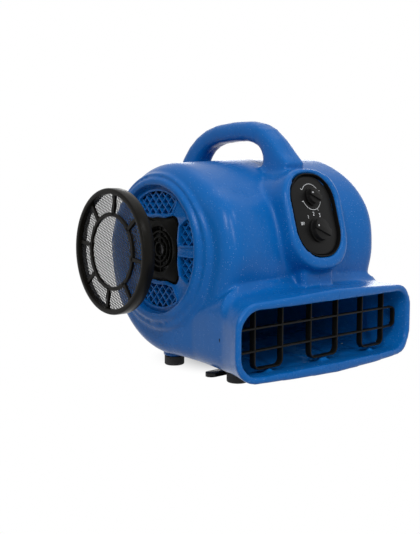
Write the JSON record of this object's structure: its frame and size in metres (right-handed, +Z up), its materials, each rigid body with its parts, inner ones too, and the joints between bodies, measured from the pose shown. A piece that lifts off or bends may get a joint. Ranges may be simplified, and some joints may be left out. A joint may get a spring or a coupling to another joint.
{
  "type": "air mover",
  "caption": "Portable centrifugal blower in a two-part moulded housing with carrying handle, timer and speed knobs, pull-off inlet filters, wide guarded outlet and folding stand.",
  "frame": {"origin": "on the floor, on the housing's parting plane, straight below the fan axis", "axes": "+X to the right along the fan axis, -Y towards the outlet, +Z up"},
  "size_m": [0.381, 0.3145, 0.332],
  "materials": {
    "blue_plastic": "satin moulded blue with fine grain",
    "black_plastic": "satin moulded black",
    "grey_plastic": "plain moulded grey",
    "filter_net": "woven dark net",
    "foot_rubber": "matt rubber",
    "bright_steel": "bright plated steel",
    "motor_steel": "black enamel",
    "capacitor_can": "plain pale case",
    "stand_coat": "gloss black coating"
  },
  "bodies": {
    "housing": {"left_housing": "blue_plastic", "right_housing": "blue_plastic", "left_inlet_grille": "blue_plastic", "right_inlet_grille": "blue_plastic", "motor_cover": "black_plastic", "motor_cover_screws": "bright_steel", "motor_can": "motor_steel", "motor_bearings": "bright_steel", "control_panel": "black_plastic", "timer_body": "grey_plastic", "speed_switch": "grey_plastic", "capacitor": "capacitor_can", "outlet_guard": "black_plastic", "front_left_foot": "foot_rubber", "front_right_foot": "foot_rubber", "rear_left_foot": "foot_rubber", "rear_right_foot": "foot_rubber", "foot_screws": "bright_steel", "left_stand_clip": "black_plastic", "right_stand_clip": "black_plastic", "stand_clip_screws": "bright_steel", "housing_screws": "bright_steel", "cord_gland": "black_plastic"},
    "rotor": {"motor_shaft": "bright_steel", "blower_wheel": "black_plastic", "wheel_hub": "bright_steel", "hub_screw": "bright_steel"},
    "timer": {"timer_knob": "black_plastic", "timer_shaft": "bright_steel"},
    "speed": {"speed_knob": "black_plastic", "speed_shaft": "bright_steel"},
    "left_filter": {"left_filter_frame": "black_plastic", "left_filter_net": "filter_net"},
    "right_filter": {"right_filter_frame": "black_plastic", "right_filter_net": "filter_net"},
    "stand": {"folding_stand": "stand_coat"}
  },
  "joints": [
    {"name": "fan_spin", "type": "hinge", "parent": "housing", "child": "rotor", "pos_m": [0, 0, 0.16], "axis": [1, 0, 0], "continuous": true},
    {"name": "timer_turn", "type": "hinge", "parent": "housing", "child": "timer", "pos_m": [0, -0.13557, 0.22674], "axis": [0, 0.9613, -0.2756], "range_deg": [0, 270]},
    {"name": "speed_turn", "type": "hinge", "parent": "housing", "child": "speed", "pos_m": [0, -0.14769, 0.18444], "axis": [0, 0.9613, -0.2756], "range_deg": [0, 90]},
    {"name": "left_filter_push", "type": "slide", "parent": "housing", "child": "left_filter", "axis": [1, 0, 0], "range_m": [0, 0.06]},
    {"name": "right_filter_pull", "type": "slide", "parent": "housing", "child": "right_filter", "axis": [1, 0, 0], "range_m": [0, 0.06]},
    {"name": "stand_fold", "type": "hinge", "parent": "housing", "child": "stand", "pos_m": [0, -0.088, 0.009], "axis": [-1, 0, 0], "range_deg": [0, 95]}
  ]
}
